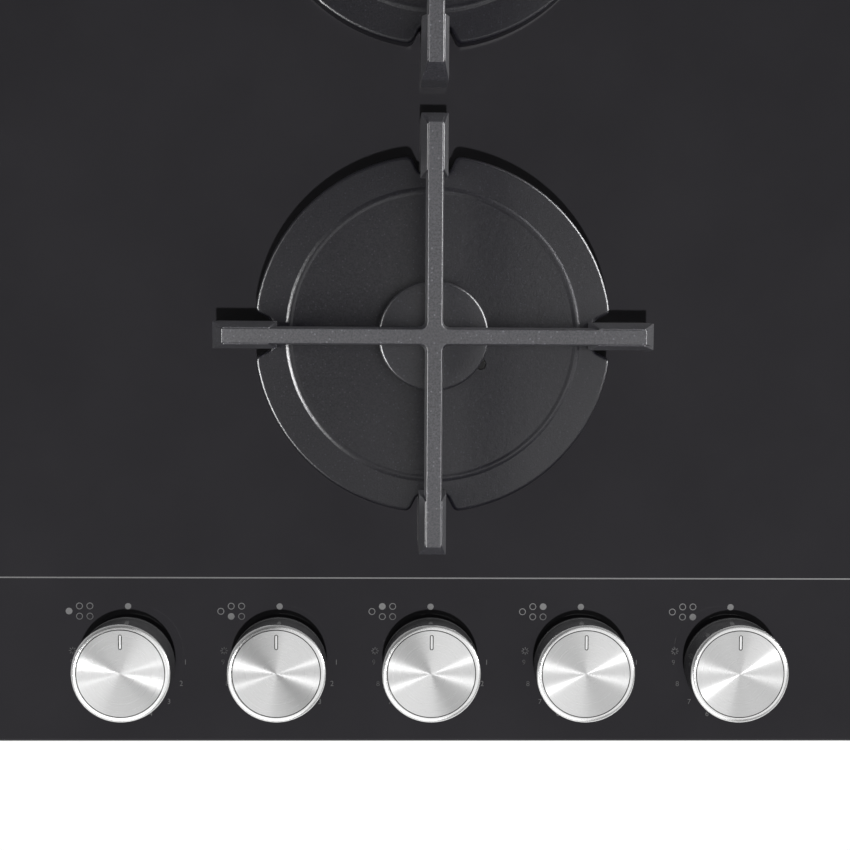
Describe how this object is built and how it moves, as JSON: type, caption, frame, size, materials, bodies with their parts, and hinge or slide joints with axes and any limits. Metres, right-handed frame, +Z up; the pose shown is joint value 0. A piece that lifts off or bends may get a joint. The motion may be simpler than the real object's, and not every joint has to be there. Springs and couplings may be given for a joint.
{
  "type": "gas cooktop",
  "caption": "Built-in gas hob: black glass panel with burners under cast cross trivets, notched cover plates and push-and-turn knobs, over a shallow steel tray.",
  "frame": {"origin": "middle of the glass outline, on the worktop plane under the edge seal", "axes": "+X to the right, +Y to the back, +Z up, as seen by the cook at the knobs"},
  "size_m": [0.915, 0.52, 0.101],
  "materials": {
    "black_glass": "polished toughened glass, black printed from below",
    "seal_foam": "closed-cell foam",
    "sheet_steel": "galvanised pressed sheet",
    "cast_aluminium": "as cast, satin",
    "pipe_aluminium": "drawn tube",
    "brass": "turned",
    "ceramic": "glazed ceramic with steel tip",
    "steel": "zinc plated",
    "cast_iron": "matt enamelled cast iron",
    "enamel": "satin black enamel",
    "knob_black": "gloss black",
    "knob_aluminium": "spun face with polished bevel",
    "black_plastic": "moulded",
    "silicone": "moulded silicone"
  },
  "bodies": {
    "root": {"glass_top": "black_glass", "edge_seal": "seal_foam", "base_tray": "sheet_steel", "support_bridges": "sheet_steel", "burner_cups": "cast_aluminium", "cup_gaskets": "seal_foam", "injectors": "brass", "spark_electrodes": "ceramic", "thermocouples": "steel", "tap_bodies": "cast_aluminium", "gas_manifold": "steel", "inlet_fitting": "brass", "gas_pipes": "pipe_aluminium", "ignition_generator": "black_plastic", "terminal_box": "black_plastic", "cable_gland": "black_plastic", "stem_seals": "silicone", "burner_screws": "steel", "tap_screws": "steel"},
    "wok_tap_plug": {"wok_tap_plug": "brass"},
    "wok_knob": {"wok_tap_stem": "steel", "wok_knob": "knob_black", "wok_knob_face": "knob_aluminium"},
    "wok_trivet": {"wok_trivet": "cast_iron"},
    "wok_cap": {"wok_cap": "enamel"},
    "wok_crown": {"wok_crown": "cast_aluminium"},
    "wok_cover": {"wok_cover": "cast_iron"},
    "wok_inner_cap": {"wok_inner_cap": "enamel"},
    "front_centre_tap_plug": {"front_centre_tap_plug": "brass"},
    "front_centre_knob": {"front_centre_tap_stem": "steel", "front_centre_knob": "knob_black", "front_centre_knob_face": "knob_aluminium"},
    "front_centre_trivet": {"front_centre_trivet": "cast_iron"},
    "front_centre_cap": {"front_centre_cap": "enamel"},
    "front_centre_crown": {"front_centre_crown": "cast_aluminium"},
    "front_centre_cover": {"front_centre_cover": "cast_iron"},
    "rear_centre_tap_plug": {"rear_centre_tap_plug": "brass"},
    "rear_centre_knob": {"rear_centre_tap_stem": "steel", "rear_centre_knob": "knob_black", "rear_centre_knob_face": "knob_aluminium"},
    "rear_centre_trivet": {"rear_centre_trivet": "cast_iron"},
    "rear_centre_cap": {"rear_centre_cap": "enamel"},
    "rear_centre_crown": {"rear_centre_crown": "cast_aluminium"},
    "rear_centre_cover": {"rear_centre_cover": "cast_iron"},
    "rear_right_tap_plug": {"rear_right_tap_plug": "brass"},
    "rear_right_knob": {"rear_right_tap_stem": "steel", "rear_right_knob": "knob_black", "rear_right_knob_face": "knob_aluminium"},
    "rear_right_trivet": {"rear_right_trivet": "cast_iron"},
    "rear_right_cap": {"rear_right_cap": "enamel"},
    "rear_right_crown": {"rear_right_crown": "cast_aluminium"},
    "rear_right_cover": {"rear_right_cover": "cast_iron"},
    "front_right_tap_plug": {"front_right_tap_plug": "brass"},
    "front_right_knob": {"front_right_tap_stem": "steel", "front_right_knob": "knob_black", "front_right_knob_face": "knob_aluminium"},
    "front_right_trivet": {"front_right_trivet": "cast_iron"},
    "front_right_cap": {"front_right_cap": "enamel"},
    "front_right_crown": {"front_right_crown": "cast_aluminium"},
    "front_right_cover": {"front_right_cover": "cast_iron"}
  },
  "joints": [
    {"name": "wok_knob_turn", "type": "hinge", "parent": "root", "child": "wok_tap_plug", "pos_m": [-0.14, -0.2225, 0], "axis": [0, 0, 1], "range_deg": [0, 270]},
    {"name": "wok_knob_push", "type": "slide", "parent": "wok_tap_plug", "child": "wok_knob", "axis": [0, 0, -1], "range_m": [0, 0.003], "stiffness_N_per_m": 1500, "springref_m": -0.002},
    {"name": "wok_trivet_lift", "type": "slide", "parent": "root", "child": "wok_trivet", "axis": [0, 0, 1], "range_m": [0, 0.12]},
    {"name": "wok_cap_lift", "type": "slide", "parent": "root", "child": "wok_cap", "axis": [0, 0, 1], "range_m": [0, 0.08]},
    {"name": "wok_crown_lift", "type": "slide", "parent": "root", "child": "wok_crown", "axis": [0, 0, 1], "range_m": [0, 0.05]},
    {"name": "wok_cover_lift", "type": "slide", "parent": "root", "child": "wok_cover", "axis": [0, 0, 1], "range_m": [0, 0.02]},
    {"name": "wok_inner_cap_lift", "type": "slide", "parent": "root", "child": "wok_inner_cap", "axis": [0, 0, 1], "range_m": [0, 0.09]},
    {"name": "front_centre_knob_turn", "type": "hinge", "parent": "root", "child": "front_centre_tap_plug", "pos_m": [-0.07, -0.2225, 0], "axis": [0, 0, 1], "range_deg": [0, 270]},
    {"name": "front_centre_knob_push", "type": "slide", "parent": "front_centre_tap_plug", "child": "front_centre_knob", "axis": [0, 0, -1], "range_m": [0, 0.003], "stiffness_N_per_m": 1500, "springref_m": -0.002},
    {"name": "front_centre_trivet_lift", "type": "slide", "parent": "root", "child": "front_centre_trivet", "axis": [0, 0, 1], "range_m": [0, 0.12]},
    {"name": "front_centre_cap_lift", "type": "slide", "parent": "root", "child": "front_centre_cap", "axis": [0, 0, 1], "range_m": [0, 0.08]},
    {"name": "front_centre_crown_lift", "type": "slide", "parent": "root", "child": "front_centre_crown", "axis": [0, 0, 1], "range_m": [0, 0.05]},
    {"name": "front_centre_cover_lift", "type": "slide", "parent": "root", "child": "front_centre_cover", "axis": [0, 0, 1], "range_m": [0, 0.02]},
    {"name": "rear_centre_knob_turn", "type": "hinge", "parent": "root", "child": "rear_centre_tap_plug", "pos_m": [0, -0.2225, 0], "axis": [0, 0, 1], "range_deg": [0, 270]},
    {"name": "rear_centre_knob_push", "type": "slide", "parent": "rear_centre_tap_plug", "child": "rear_centre_knob", "axis": [0, 0, -1], "range_m": [0, 0.003], "stiffness_N_per_m": 1500, "springref_m": -0.002},
    {"name": "rear_centre_trivet_lift", "type": "slide", "parent": "root", "child": "rear_centre_trivet", "axis": [0, 0, 1], "range_m": [0, 0.12]},
    {"name": "rear_centre_cap_lift", "type": "slide", "parent": "root", "child": "rear_centre_cap", "axis": [0, 0, 1], "range_m": [0, 0.08]},
    {"name": "rear_centre_crown_lift", "type": "slide", "parent": "root", "child": "rear_centre_crown", "axis": [0, 0, 1], "range_m": [0, 0.05]},
    {"name": "rear_centre_cover_lift", "type": "slide", "parent": "root", "child": "rear_centre_cover", "axis": [0, 0, 1], "range_m": [0, 0.02]},
    {"name": "rear_right_knob_turn", "type": "hinge", "parent": "root", "child": "rear_right_tap_plug", "pos_m": [0.07, -0.2225, 0], "axis": [0, 0, 1], "range_deg": [0, 270]},
    {"name": "rear_right_knob_push", "type": "slide", "parent": "rear_right_tap_plug", "child": "rear_right_knob", "axis": [0, 0, -1], "range_m": [0, 0.003], "stiffness_N_per_m": 1500, "springref_m": -0.002},
    {"name": "rear_right_trivet_lift", "type": "slide", "parent": "root", "child": "rear_right_trivet", "axis": [0, 0, 1], "range_m": [0, 0.12]},
    {"name": "rear_right_cap_lift", "type": "slide", "parent": "root", "child": "rear_right_cap", "axis": [0, 0, 1], "range_m": [0, 0.08]},
    {"name": "rear_right_crown_lift", "type": "slide", "parent": "root", "child": "rear_right_crown", "axis": [0, 0, 1], "range_m": [0, 0.05]},
    {"name": "rear_right_cover_lift", "type": "slide", "parent": "root", "child": "rear_right_cover", "axis": [0, 0, 1], "range_m": [0, 0.02]},
    {"name": "front_right_knob_turn", "type": "hinge", "parent": "root", "child": "front_right_tap_plug", "pos_m": [0.14, -0.2225, 0], "axis": [0, 0, 1], "range_deg": [0, 270]},
    {"name": "front_right_knob_push", "type": "slide", "parent": "front_right_tap_plug", "child": "front_right_knob", "axis": [0, 0, -1], "range_m": [0, 0.003], "stiffness_N_per_m": 1500, "springref_m": -0.002},
    {"name": "front_right_trivet_lift", "type": "slide", "parent": "root", "child": "front_right_trivet", "axis": [0, 0, 1], "range_m": [0, 0.12]},
    {"name": "front_right_cap_lift", "type": "slide", "parent": "root", "child": "front_right_cap", "axis": [0, 0, 1], "range_m": [0, 0.08]},
    {"name": "front_right_crown_lift", "type": "slide", "parent": "root", "child": "front_right_crown", "axis": [0, 0, 1], "range_m": [0, 0.05]},
    {"name": "front_right_cover_lift", "type": "slide", "parent": "root", "child": "front_right_cover", "axis": [0, 0, 1], "range_m": [0, 0.02]}
  ],
  "couplings": [
    {"joint": "wok_cap_lift", "follows": "wok_trivet_lift", "ratio": 0.66667},
    {"joint": "wok_crown_lift", "follows": "wok_trivet_lift", "ratio": 0.41667},
    {"joint": "wok_cover_lift", "follows": "wok_trivet_lift", "ratio": 0.16667},
    {"joint": "wok_inner_cap_lift", "follows": "wok_trivet_lift", "ratio": 0.75},
    {"joint": "front_centre_cap_lift", "follows": "front_centre_trivet_lift", "ratio": 0.66667},
    {"joint": "front_centre_crown_lift", "follows": "front_centre_trivet_lift", "ratio": 0.41667},
    {"joint": "front_centre_cover_lift", "follows": "front_centre_trivet_lift", "ratio": 0.16667},
    {"joint": "rear_centre_cap_lift", "follows": "rear_centre_trivet_lift", "ratio": 0.66667},
    {"joint": "rear_centre_crown_lift", "follows": "rear_centre_trivet_lift", "ratio": 0.41667},
    {"joint": "rear_centre_cover_lift", "follows": "rear_centre_trivet_lift", "ratio": 0.16667},
    {"joint": "rear_right_cap_lift", "follows": "rear_right_trivet_lift", "ratio": 0.66667},
    {"joint": "rear_right_crown_lift", "follows": "rear_right_trivet_lift", "ratio": 0.41667},
    {"joint": "rear_right_cover_lift", "follows": "rear_right_trivet_lift", "ratio": 0.16667},
    {"joint": "front_right_cap_lift", "follows": "front_right_trivet_lift", "ratio": 0.66667},
    {"joint": "front_right_crown_lift", "follows": "front_right_trivet_lift", "ratio": 0.41667},
    {"joint": "front_right_cover_lift", "follows": "front_right_trivet_lift", "ratio": 0.16667}
  ]
}
